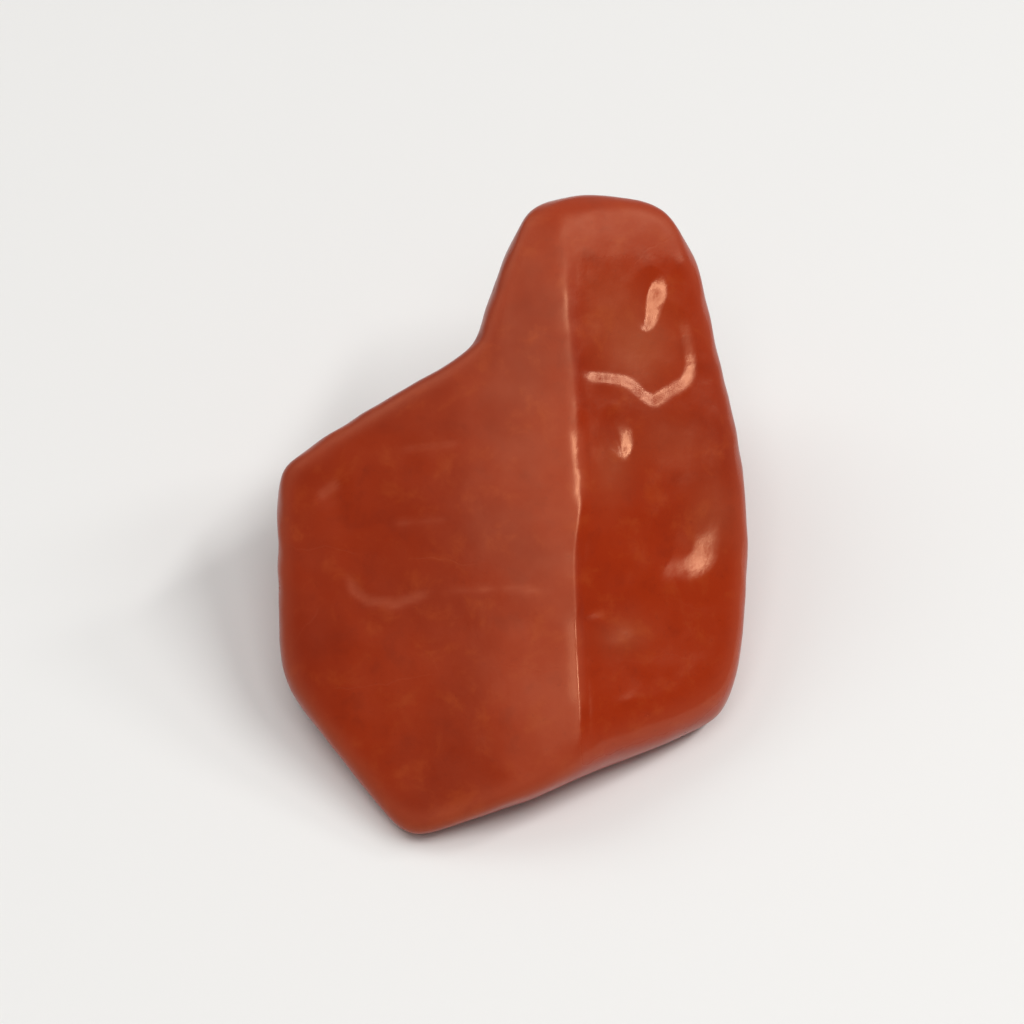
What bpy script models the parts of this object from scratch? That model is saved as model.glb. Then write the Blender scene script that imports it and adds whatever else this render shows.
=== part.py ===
"""One tumbled chip of red jasper, modelled as a single solid stone.

A rough block is cut by flat facets, the way such a chip is broken before it is tumbled. A wedge
is cut away beside its tall end, which leaves a hollow shoulder, and shallow flake scars and
hollows are scooped out of its faces. All edges are then worn round together, and the underside
is levelled to the face that the stone lies on.

Metres, +Z up. The origin is the middle of the box around the stone, on the surface it lies on.
The broad face looks towards -Y and up, and the tall end is at +Y.
"""

import math
from typing import NamedTuple

import bmesh
import bpy
from mathutils import Matrix, Vector

MM = 0.001

# Driving dimensions in millimetres. Facets and scoops are measured from the heart, a point
# inside the stone above its underside.
HEART_HEIGHT = 4.5
BLOCK_SIDE = 40.0
BALL_SEGMENTS = 64

# Wear: the size of the last skin's faces, then each skin's grain with its strokes of smoothing
LAST_GRAIN = 0.58
WEAR_ROUNDS = ((LAST_GRAIN / 2, 24), (LAST_GRAIN / 1.4, 8), (LAST_GRAIN, 3))
WEAR_STRENGTH = 0.5

# How much of the worn underside is cut level, and the angle past which an edge looks sharp
LEVELLING_CUT = 0.10
SHARP_EDGE = 50.0

STONE_COLOUR = (0.30, 0.038, 0.012, 1.0)
STONE_ROUGHNESS = 0.32


class Facet(NamedTuple):
    """A flat cut: where its normal points, in degrees, and how far it is from the heart, in mm."""

    azimuth: float
    elevation: float
    distance: float


class Scoop(NamedTuple):
    """A ball that hollows a face: where its centre lies, its distance from the heart and radius."""

    azimuth: float
    elevation: float
    distance: float
    radius: float


FACETS = {
    "front_left": Facet(-112, 56, 2.10),
    "front_band": Facet(-82, 61, 2.10),
    "front_right": Facet(-42, 54, 2.75),
    "left": Facet(178, -6, 7.60),
    "left_low": Facet(-149, -26, 8.40),
    "bottom_front": Facet(-64, -34, 7.60),
    "right_low": Facet(-11, -14, 8.00),
    "right": Facet(5, -4, 7.65),
    "top_right": Facet(17, -2, 8.05),
    "top": Facet(84, 14, 11.10),
    "top_corner": Facet(40, 9, 10.90),
    "top_left": Facet(128, 10, 7.70),
    "back_low": Facet(100, -27, 9.00),
    "back_left_low": Facet(150, -34, 7.70),
    "under": Facet(0, -90, HEART_HEIGHT),
}

# The hollow shoulder is what lies outside both of these planes
SHOULDER = {
    "shoulder_top": Facet(123, 22, 6.05),
    "column_side": Facet(163, 12, 3.50),
}

SCOOPS = {
    "back_flake": Scoop(88, 10, 18.6, 9.4),
    "left_flake": Scoop(164, -16, 14.2, 6.7),
    "right_flake": Scoop(5, -16, 16.6, 8.9),
    "heel_flake": Scoop(120, -30, 15.6, 7.6),
    "left_face_hollow": Scoop(-123, 49, 22.7, 20.6),
    "right_face_chip": Scoop(27, 48, 10.8, 5.6),
    "right_face_hollow": Scoop(-39, 29, 12.4, 8.8),
}


def direction(azimuth: float, elevation: float) -> Vector:
    """Return the unit vector at an azimuth from +X and an elevation above the floor, in degrees."""
    turn = math.radians(azimuth)
    rise = math.radians(elevation)
    return Vector((math.cos(rise) * math.cos(turn), math.cos(rise) * math.sin(turn), math.sin(rise)))


def heart() -> Vector:
    """Return the stone's inner reference point, in metres."""
    return Vector((0.0, 0.0, HEART_HEIGHT * MM))


def clear_scene() -> None:
    """Remove every object that the file starts with."""
    for thing in list(bpy.data.objects):
        bpy.data.objects.remove(thing, do_unlink=True)


def new_collection(name: str) -> bpy.types.Collection:
    """Make a collection and link it to the scene."""
    collection = bpy.data.collections.new(name)
    bpy.context.scene.collection.children.link(collection)
    return collection


def new_object(name: str, body: bmesh.types.BMesh, collection: bpy.types.Collection) -> bpy.types.Object:
    """Turn a finished bmesh into an object of a collection."""
    mesh = bpy.data.meshes.new(name)
    body.to_mesh(mesh)
    body.free()
    thing = bpy.data.objects.new(name, mesh)
    collection.objects.link(thing)
    return thing


def faceted_block(cuts: list[tuple[Facet, bool]]) -> bmesh.types.BMesh:
    """Cut a cube around the heart with planes, and close each cut.

    Each cut is a facet and whether the side towards the heart is the one that stays.
    """
    block = bmesh.new()
    bmesh.ops.create_cube(block, size=BLOCK_SIDE * MM, matrix=Matrix.Translation(heart()))
    for facet, keep_heart_side in cuts:
        normal = direction(facet.azimuth, facet.elevation)
        point = heart() + normal * facet.distance * MM
        cut = bmesh.ops.bisect_plane(
            block,
            geom=block.verts[:] + block.edges[:] + block.faces[:],
            plane_co=point,
            plane_no=normal,
            clear_outer=keep_heart_side,
            clear_inner=not keep_heart_side,
        )
        rim = [item for item in cut["geom_cut"] if isinstance(item, bmesh.types.BMEdge)]
        bmesh.ops.edgenet_fill(block, edges=rim)
    bmesh.ops.recalc_face_normals(block, faces=block.faces[:])
    return block


def scoop_ball(scoop: Scoop) -> bmesh.types.BMesh:
    """Make the ball that carves one hollow."""
    ball = bmesh.new()
    centre = heart() + direction(scoop.azimuth, scoop.elevation) * scoop.distance * MM
    bmesh.ops.create_uvsphere(
        ball,
        u_segments=BALL_SEGMENTS,
        v_segments=BALL_SEGMENTS // 2,
        radius=scoop.radius * MM,
        matrix=Matrix.Translation(centre),
    )
    return ball


def floor_block() -> bmesh.types.BMesh:
    """Make the block whose top is the level of the finished underside."""
    block = bmesh.new()
    depth = BLOCK_SIDE * MM / 2
    middle = Vector((0.0, 0.0, LEVELLING_CUT * MM - depth / 2))
    size = Matrix.Diagonal((BLOCK_SIDE * MM, BLOCK_SIDE * MM, depth, 1.0))
    bmesh.ops.create_cube(block, size=1.0, matrix=Matrix.Translation(middle) @ size)
    return block


def make_cutter(thing: bpy.types.Object) -> None:
    """Mark an object as a tool that is not part of the stone."""
    thing.hide_render = True
    thing.display_type = "WIRE"


def carve(stone: bpy.types.Object, cutter: bpy.types.Object) -> None:
    """Take a cutter's volume out of the stone."""
    cut = stone.modifiers.new(cutter.name, "BOOLEAN")
    cut.operation = "DIFFERENCE"
    cut.solver = "EXACT"
    cut.object = cutter


def wear_edges(stone: bpy.types.Object) -> None:
    """Round every edge as tumbling does.

    An even skin of small faces is laid over the stone and smoothed, and then laid anew with a
    coarser grain, so that the last one is light and has clean edges.
    """
    for grain, strokes in WEAR_ROUNDS:
        skin = stone.modifiers.new("tumbled_skin", "REMESH")
        skin.mode = "VOXEL"
        skin.voxel_size = grain * MM
        worn = stone.modifiers.new("worn_edges", "SMOOTH")
        worn.factor = WEAR_STRENGTH
        worn.iterations = strokes


def evaluated_mesh(thing: bpy.types.Object) -> bpy.types.Mesh:
    """Return a copy of an object's mesh with its modifiers applied."""
    graph = bpy.context.evaluated_depsgraph_get()
    return bpy.data.meshes.new_from_object(thing.evaluated_get(graph), depsgraph=graph)


def jasper_material() -> bpy.types.Material:
    """Make the brick-red, softly polished stone."""
    material = bpy.data.materials.new("red_jasper")
    material.use_nodes = True
    shader = material.node_tree.nodes["Principled BSDF"]
    shader.inputs["Base Color"].default_value = STONE_COLOUR
    shader.inputs["Roughness"].default_value = STONE_ROUGHNESS
    shader.inputs["Metallic"].default_value = 0.0
    material.diffuse_color = STONE_COLOUR
    return material


def settle(stone: bpy.types.Object, tools: bpy.types.Collection) -> None:
    """Fix the modelled form and put the middle of its underside's box on the origin.

    The cutters move with the stone, so that they still show where they cut.
    """
    mesh = evaluated_mesh(stone)
    corners = [vertex.co for vertex in mesh.vertices]
    low = Vector(min(corner[axis] for corner in corners) for axis in range(3))
    high = Vector(max(corner[axis] for corner in corners) for axis in range(3))
    foot = Vector(((low.x + high.x) / 2, (low.y + high.y) / 2, low.z))
    mesh.transform(Matrix.Translation(-foot))
    mesh.name = stone.name
    stone.modifiers.clear()
    stone.data = mesh
    for cutter in tools.objects:
        cutter.location = -foot


def build_stone(parts: bpy.types.Collection, tools: bpy.types.Collection) -> None:
    """Cut, carve, wear and level the stone."""
    blank = faceted_block([(facet, True) for facet in FACETS.values()])
    wedge = faceted_block([(facet, False) for facet in SHOULDER.values()])
    stone = new_object("jasper_stone", blank, parts)
    cutters = [new_object("shoulder_wedge", wedge, tools)]
    cutters += [new_object(name, scoop_ball(scoop), tools) for name, scoop in SCOOPS.items()]
    for cutter in cutters:
        make_cutter(cutter)
        carve(stone, cutter)
    wear_edges(stone)
    floor = new_object("levelling_floor", floor_block(), tools)
    make_cutter(floor)
    carve(stone, floor)
    settle(stone, tools)
    stone.data.materials.clear()
    stone.data.materials.append(jasper_material())
    stone.data.shade_smooth()
    stone.data.set_sharp_from_angle(angle=math.radians(SHARP_EDGE))


def main() -> None:
    """Build the stone in a scene of its own."""
    clear_scene()
    parts = new_collection("red_jasper")
    tools = new_collection("cutters")
    build_stone(parts, tools)


main()
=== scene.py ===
"""Dresses one tumbled chip of red jasper.

The stone's outside is worked out again here as one fine surface: facets, a hollow shoulder and
flake scars melt into each other as they do on a tumbled stone, and a low relief of a ridge,
chips, ripples and pits lies over them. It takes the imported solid's place.

Lengths inside the stone's own functions are millimetres from its heart, a point inside it. They
become metres only when the mesh is made.
"""

import logging
import math
from dataclasses import dataclass, field
from enum import Enum

import bpy
import numpy as np
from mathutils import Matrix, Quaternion, Vector


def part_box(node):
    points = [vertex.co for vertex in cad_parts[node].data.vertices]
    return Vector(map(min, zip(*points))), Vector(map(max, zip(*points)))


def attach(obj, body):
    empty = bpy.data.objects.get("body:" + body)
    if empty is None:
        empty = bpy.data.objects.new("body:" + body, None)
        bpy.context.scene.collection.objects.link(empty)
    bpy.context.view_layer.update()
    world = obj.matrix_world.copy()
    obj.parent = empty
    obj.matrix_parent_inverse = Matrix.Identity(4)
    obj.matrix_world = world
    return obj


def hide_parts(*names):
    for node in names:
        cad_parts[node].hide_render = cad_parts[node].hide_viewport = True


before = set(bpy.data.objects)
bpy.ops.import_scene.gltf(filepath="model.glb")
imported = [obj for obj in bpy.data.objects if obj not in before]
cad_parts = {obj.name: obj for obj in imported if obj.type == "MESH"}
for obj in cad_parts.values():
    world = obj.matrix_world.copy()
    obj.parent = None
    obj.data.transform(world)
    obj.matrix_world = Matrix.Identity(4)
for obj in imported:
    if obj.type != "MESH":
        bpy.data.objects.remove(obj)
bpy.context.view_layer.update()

LOG = logging.getLogger("jasper")
MM = 0.001
STONE_NODE = "jasper_stone"
STONE_BODY = "root"

# The camera looks along +Y and down by this angle, so that the stone shows as it lay in the heap
CAMERA_DROP = 50.0
# How far above the heart, up the picture, the middle of the view is, and how wide the view is
AIM_LIFT = 1.24
VIEW_WIDTH = 32.1
# The least height of an outline's step, so that nothing is divided by zero
TINY = 1e-6

Socket = bpy.types.NodeSocket
Colour = tuple[float, float, float, float]
Span = tuple[float, float]
Line = tuple[Span, ...]
Triples = tuple[tuple[float, float, float], ...]
# The values of some fields at each point, and their gradients
Fields = tuple[np.ndarray, np.ndarray]


def direction(azimuth: float, elevation: float) -> np.ndarray:
    """Return the unit vector at an azimuth from +X towards +Y and an elevation, in degrees."""
    turn, rise = math.radians(azimuth), math.radians(elevation)
    return np.array([math.cos(rise) * math.cos(turn), math.cos(rise) * math.sin(turn), math.sin(rise)])


def picture_axes() -> tuple[np.ndarray, np.ndarray]:
    """Return the unit vectors up the camera's picture and from the stone towards the camera."""
    return direction(90, 90 - CAMERA_DROP), direction(-90, CAMERA_DROP)


def soft_step(values: np.ndarray, low: float, high: float) -> np.ndarray:
    """Rise from 0 at low to 1 at high, by 3t² - 2t³ of the share t of the way, clipped."""
    share = np.clip((values - low) / (high - low), 0.0, 1.0)
    return share * share * (3.0 - 2.0 * share)


def bell(values: np.ndarray, width: float) -> np.ndarray:
    """Give exp(-(value / width)²), a bump of height 1 around 0 that fades over its width."""
    return np.exp(-((values / width) ** 2))


def measure_pieces(
    spots: np.ndarray, starts: np.ndarray, steps: np.ndarray
) -> tuple[np.ndarray, np.ndarray]:
    """Measure how near each place in the picture is to each straight piece of a line.

    Args:
        spots: Places across and up the picture, one row each.
        starts: Where each piece starts.
        steps: The way from there to its end.

    Returns:
        The share of each piece where it is nearest to each place, and the distance there.
    """
    from_start = spots[:, None, :] - starts
    shares = np.clip((from_start * steps).sum(axis=2) / (steps**2).sum(axis=1), 0.0, 1.0)
    return shares, np.linalg.norm(from_start - shares[..., None] * steps, axis=2)


def put_in_scene(name: str, data: bpy.types.ID) -> bpy.types.Object:
    """Make an object of a mesh, lamp or camera and link it to the scene."""
    thing = bpy.data.objects.new(name, data)
    bpy.context.scene.collection.objects.link(thing)
    return thing


@dataclass(frozen=True)
class Joined:
    """Several fields joined in one.

    Attributes:
        value: The joined field at each point.
        slope: Its gradient at each point.
        melt: How much the fields' own gradients differ there: 0 on a face, more on an edge.
    """

    value: np.ndarray
    slope: np.ndarray
    melt: np.ndarray

    def fields(self, sign: float = 1.0) -> Fields:
        """Return it as a set of one field, times a sign."""
        return sign * self.value[:, None], sign * self.slope[:, None]


def soft_max(sets: list[Fields], blend: float) -> Joined:
    """Join several sets of fields so that the largest field wins and ties melt together.

    Args:
        sets: Fields with one row for each point, and their gradients with x, y and z along the
            third axis.
        blend: The size of the melted corner, in the fields' own unit.

    Returns:
        The value blend · ln Σ exp(value / blend), the slope as the mean of the fields' gradients
        weighed by exp(value / blend), and the melt as the weighed spread of those gradients.
    """
    values, slopes = (np.concatenate(parts, axis=1) for parts in zip(*sets))
    largest = values.max(axis=1, keepdims=True)
    weights = np.exp((values - largest) / blend)
    total = weights.sum(axis=1, keepdims=True)
    shares = weights / total
    slope = np.einsum("pf,pfa->pa", shares, slopes)
    melt = (shares * (slopes**2).sum(axis=2)).sum(axis=1) - (slope**2).sum(axis=1)
    return Joined((largest + blend * np.log(total))[:, 0], slope, melt)


@dataclass(frozen=True)
class Aimed:
    """Something that is placed by its direction and distance from the heart.

    Attributes:
        azimuth: Its direction, in degrees from +X.
        elevation: How far that direction rises, in degrees.
        distance: How far away it is, in millimetres.
    """

    azimuth: float
    elevation: float
    distance: float

    @property
    def way(self) -> np.ndarray:
        """The unit vector in its direction."""
        return direction(self.azimuth, self.elevation)

    @property
    def place(self) -> np.ndarray:
        """The point at its distance, from the heart."""
        return self.way * self.distance


@dataclass(frozen=True)
class Facet(Aimed):
    """A flat cut through the stone, square to its direction."""


@dataclass(frozen=True)
class Scoop(Aimed):
    """A ball-shaped hollow around its place.

    Attributes:
        radius: The ball's radius, in millimetres.
    """

    radius: float


@dataclass(frozen=True)
class Patch:
    """An oval on the broad face, placed in the camera's picture plane.

    Attributes:
        across: Millimetres right of the heart.
        up: Millimetres up the picture from the heart.
        half_width: Its half width, in millimetres.
        half_height: Its half height up the picture, in millimetres.
    """

    across: float
    up: float
    half_width: float
    half_height: float


class MarkKind(Enum):
    """The kinds of small oval marks on the broad face: raised blisters and sunken pits."""

    BLISTER = "blister"
    PIT = "pit"


@dataclass(frozen=True)
class Mark(Patch):
    """One small mark.

    Attributes:
        kind: What sort of mark it is.
        depth: How deep or how high it is, in millimetres.
        turn: How far it is turned, in degrees anticlockwise.
    """

    kind: MarkKind
    depth: float
    turn: float = 0.0

    def lift(self, spots: np.ndarray) -> np.ndarray:
        """Raise or sink the mark.

        Args:
            spots: Places across and up the picture from the heart, one row each.

        Returns:
            depth · bell for a blister, and for a pit minus a deep bell plus a faint bell along its
            rim. The outline wanders a little, by sines of three and five times the angle.
        """
        turn = math.radians(self.turn)
        right, above = (spots - (self.across, self.up)).T
        along = (right * math.cos(turn) + above * math.sin(turn)) / self.half_width
        over = (above * math.cos(turn) - right * math.sin(turn)) / self.half_height
        angle = np.arctan2(over, along)
        wander = 1.0 + 0.07 * np.sin(3.0 * angle + self.across) + 0.05 * np.sin(5.0 * angle + self.up)
        radius = np.hypot(along, over) / wander
        if self.kind is MarkKind.BLISTER:
            return self.depth * bell(radius, 0.75)
        return self.depth * (0.25 * bell(radius - 1.3, 0.4) - bell(radius, 0.8))


@dataclass(frozen=True)
class Lip:
    """A fine line on the broad face, raised or sunken.

    Attributes:
        path: Its points, each across and up the picture from the heart, in millimetres.
        height: How high it stands, in millimetres, below 0 where it is sunken.
        width: How far it fades to each side, in millimetres.
        lumps: How uneven its height is, from 0 to 1.
    """

    path: Line
    height: float
    width: float
    lumps: float = 0.0

    def lift(self, spots: np.ndarray) -> np.ndarray:
        """Raise or sink the line.

        Args:
            spots: Places across and up the picture from the heart, one row each.

        Returns:
            height · bell of the distance to the path, made uneven by two waves of the way along
            it and fading over its first and last fifth.
        """
        chain = np.array(self.path)
        steps = np.diff(chain, axis=0)
        lengths = np.linalg.norm(steps, axis=1)
        shares, away = measure_pieces(spots, chain[:-1], steps)
        nearest = away.argmin(axis=1)
        rows = np.arange(len(spots))
        starts = np.concatenate([[0.0], np.cumsum(lengths)[:-1]])
        along = starts[nearest] + shares[rows, nearest] * lengths[nearest]
        wave = 0.5 + 0.25 * np.sin(5.1 * along + chain[0, 0]) + 0.25 * np.sin(8.7 * along + chain[0, 1])
        whole = lengths.sum()
        fade = soft_step(along / whole, -0.02, 0.2) * (1.0 - soft_step(along / whole, 0.8, 1.02))
        return self.height * fade * (1.0 - self.lumps * wave) * bell(away[rows, nearest], self.width)


@dataclass(frozen=True)
class Dish:
    """A shallow chip with a drawn outline, a sloping wall inside it and an even floor.

    Attributes:
        outline: Points around it, each across and up the picture from the heart, in millimetres.
        depth: How deep its floor lies, in millimetres.
        wall: How wide its wall is, in millimetres.
        deep_end: Where in it the floor is deepest, in degrees anticlockwise from the right.
    """

    outline: Line
    depth: float
    wall: float
    deep_end: float

    def curve(self, steps: int = 8) -> np.ndarray:
        """Draw a smooth closed curve through the outline's points, by Catmull and Rom's rule.

        Args:
            steps: How many points the curve has for each of the outline's.

        Returns:
            The curve's points, one row each.
        """
        here = np.array(self.outline)
        before = np.roll(here, 1, axis=0)
        after = np.roll(here, -1, axis=0)
        beyond = np.roll(here, -2, axis=0)
        t = (np.arange(steps) / steps)[None, :, None]
        here, before, after, beyond = (part[:, None, :] for part in (here, before, after, beyond))
        bend = (2 * before - 5 * here + 4 * after - beyond) * t**2
        twist = (3 * here - before - 3 * after + beyond) * t**3
        return (0.5 * (2 * here + (after - before) * t + bend + twist)).reshape(-1, 2)

    def lift(self, spots: np.ndarray) -> np.ndarray:
        """Sink the dish.

        Args:
            spots: Places across and up the picture from the heart, one row each.

        Returns:
            0 outside, and inside minus the depth times the share of the wall that lies between
            the point and the outline, at most 1 and eased a little at both ends, and times a
            share that rises from the far end to just past the middle.
        """
        ring = self.curve()
        low, high = ring.min(axis=0), ring.max(axis=0)
        near = ((spots > low) & (spots < high)).all(axis=1)
        places = spots[near]
        ends = np.roll(ring, -1, axis=0)
        steps = ends - ring
        away = measure_pieces(places, ring, steps)[1].min(axis=1)
        across, up = places[:, :1], places[:, 1:]
        crossed = (ring[:, 1] > up) != (ends[:, 1] > up)
        slope = steps[:, 0] / np.where(np.abs(steps[:, 1]) < TINY, TINY, steps[:, 1])
        inside = (crossed & (across < ring[:, 0] + (up - ring[:, 1]) * slope)).sum(axis=1) % 2 == 1
        deep = np.clip(np.where(inside, away, 0.0) / self.wall, 0.0, 1.0)
        deep = 0.6 * deep + 0.4 * soft_step(deep, 0.0, 1.0)
        way = direction(self.deep_end, 0.0)[:2]
        reach = ring @ way
        middle = 0.45 * reach.min() + 0.55 * reach.max()
        sunk = soft_step(places @ way, reach.min() - 0.2, middle)
        lifted = np.zeros(len(spots))
        lifted[near] = -self.depth * deep * sunk
        return lifted


@dataclass(frozen=True)
class Haze(Patch):
    """A patch that the polish left frosted and rougher, with a paler sheen painted on it.

    Attributes:
        strength: How frosted it is and how strongly its paler sheen is painted, from 0 to 1.
    """

    strength: float

    def cover(self, spots: np.ndarray) -> np.ndarray:
        """Give strength · bell of the distance from the middle, with the half sizes as unit."""
        shares = (spots - (self.across, self.up)) / (self.half_width, self.half_height)
        return self.strength * bell(np.linalg.norm(shares, axis=1), 1.0)


@dataclass(frozen=True)
class Ripple(Aimed):
    """Shell-shaped ripples that a struck flake leaves around its point of impact.

    Attributes:
        reach: How far the ripples run from it, in millimetres.
        spacing: The distance between two crests, in millimetres.
        height: The crests' height, in millimetres.
    """

    reach: float
    spacing: float
    height: float

    def lift(self, points: np.ndarray) -> np.ndarray:
        """Give height · cos(2π · distance / spacing), fading from about a third of the reach."""
        away = np.linalg.norm(points - self.place, axis=1)
        rings = np.cos(2.0 * math.pi * away / self.spacing)
        return self.height * rings * (1.0 - soft_step(away, 0.35 * self.reach, self.reach))


@dataclass
class StoneForm:
    """The stone's outside as a field that is negative inside and zero on the surface.

    Attributes:
        left_face: The flat cuts of the broad face left of the ridge.
        right_face: Those right of it.
        facets: The flat cuts that bound the rest of the stone.
        shoulder: Two cuts that together leave the hollow shoulder.
        right_scoops: The ball-shaped hollows of the broad face right of the ridge.
        scoops: Those of the other sides.
        edge_blend: How far facets melt into each other, in millimetres.
        ridge_blend: The same across the crisp ridge.
        shoulder_blend: The same for the hollow shoulder's inner corner.
    """

    left_face: tuple[Facet, ...] = (Facet(-112, 56, 2.10), Facet(-82, 61, 2.10), Facet(-124, 53, 2.60))
    right_face: tuple[Facet, ...] = (Facet(-43.1, 53.1, 2.70),)
    facets: tuple[Facet, ...] = (
        Facet(178, -6, 7.45),
        Facet(-149, -26, 8.22),
        Facet(-64, -34, 7.42),
        Facet(-55, 8, 6.62),
        Facet(-11, -14, 7.98),
        Facet(5, -4, 7.78),
        Facet(17, -2, 8.14),
        Facet(89, 14, 11.12),
        Facet(89, 66, 9.80),
        Facet(40, 9, 10.95),
        Facet(128, 10, 7.80),
        Facet(100, -27, 9.00),
        Facet(150, -34, 7.70),
        Facet(0, -90, 4.50),
    )
    shoulder: tuple[Facet, ...] = (Facet(120, 22, 5.98), Facet(166, 12, 3.17))
    right_scoops: tuple[Scoop, ...] = (Scoop(-39, 29, 12.4, 8.8),)
    scoops: tuple[Scoop, ...] = (
        Scoop(88, 3, 18.6, 9.4),
        Scoop(164, -16, 14.2, 6.7),
        Scoop(5, -16, 16.6, 8.9),
        Scoop(120, -30, 15.6, 7.6),
    )
    edge_blend: float = 0.30
    ridge_blend: float = 0.07
    shoulder_blend: float = 0.22

    def measure(self, points: np.ndarray) -> Joined:
        """Measure how far outside the stone each point is.

        The two halves of the broad face meet crisply at the ridge, and the shoulder gives the
        soft least of its two cuts. These, the other facets and the other scoops melt together.

        Args:
            points: Points from the heart, one row each.

        Returns:
            The joined field: below 0 inside the stone, and 0 on its surface.
        """
        left = soft_max([self.planes(self.left_face, points)], self.edge_blend)
        right_parts = [self.planes(self.right_face, points), self.balls(self.right_scoops, points)]
        right = soft_max(right_parts, self.edge_blend)
        face = soft_max([left.fields(), right.fields()], self.ridge_blend)
        sides, side_slopes = self.planes(self.shoulder, points)
        notch = soft_max([(-sides, -side_slopes)], self.shoulder_blend)
        rest = [self.planes(self.facets, points), self.balls(self.scoops, points)]
        return soft_max([face.fields(), notch.fields(-1.0)] + rest, self.edge_blend)

    @staticmethod
    def planes(facets: tuple[Facet, ...], points: np.ndarray) -> Fields:
        """Give normal · point - distance for each facet, and the gradients, which are the normals."""
        normals = np.array([facet.way for facet in facets])
        distances = np.array([facet.distance for facet in facets])
        slopes = np.broadcast_to(normals, (len(points),) + normals.shape)
        return points @ normals.T - distances, slopes

    @staticmethod
    def balls(scoops: tuple[Scoop, ...], points: np.ndarray) -> Fields:
        """Give radius - distance to the centre for each scoop, and the gradients."""
        centres = np.array([scoop.place for scoop in scoops])
        radii = np.array([scoop.radius for scoop in scoops])
        towards = centres - points[:, None, :]
        away = np.linalg.norm(towards, axis=2)
        return radii - away, towards / away[..., None]

    def land(self, points: np.ndarray, rounds: int = 1) -> tuple[np.ndarray, np.ndarray]:
        """Move points onto the surface by Newton's steps.

        Args:
            points: Points near the surface.
            rounds: How many steps are taken.

        Returns:
            The points on the surface, and the unit outward normal at each.
        """
        for _ in range(rounds):
            here = self.measure(points)
            points = points - here.slope * (here.value / (here.slope**2).sum(axis=1))[:, None]
        slope = self.measure(points).slope
        return points, slope / np.linalg.norm(slope, axis=1, keepdims=True)


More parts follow.
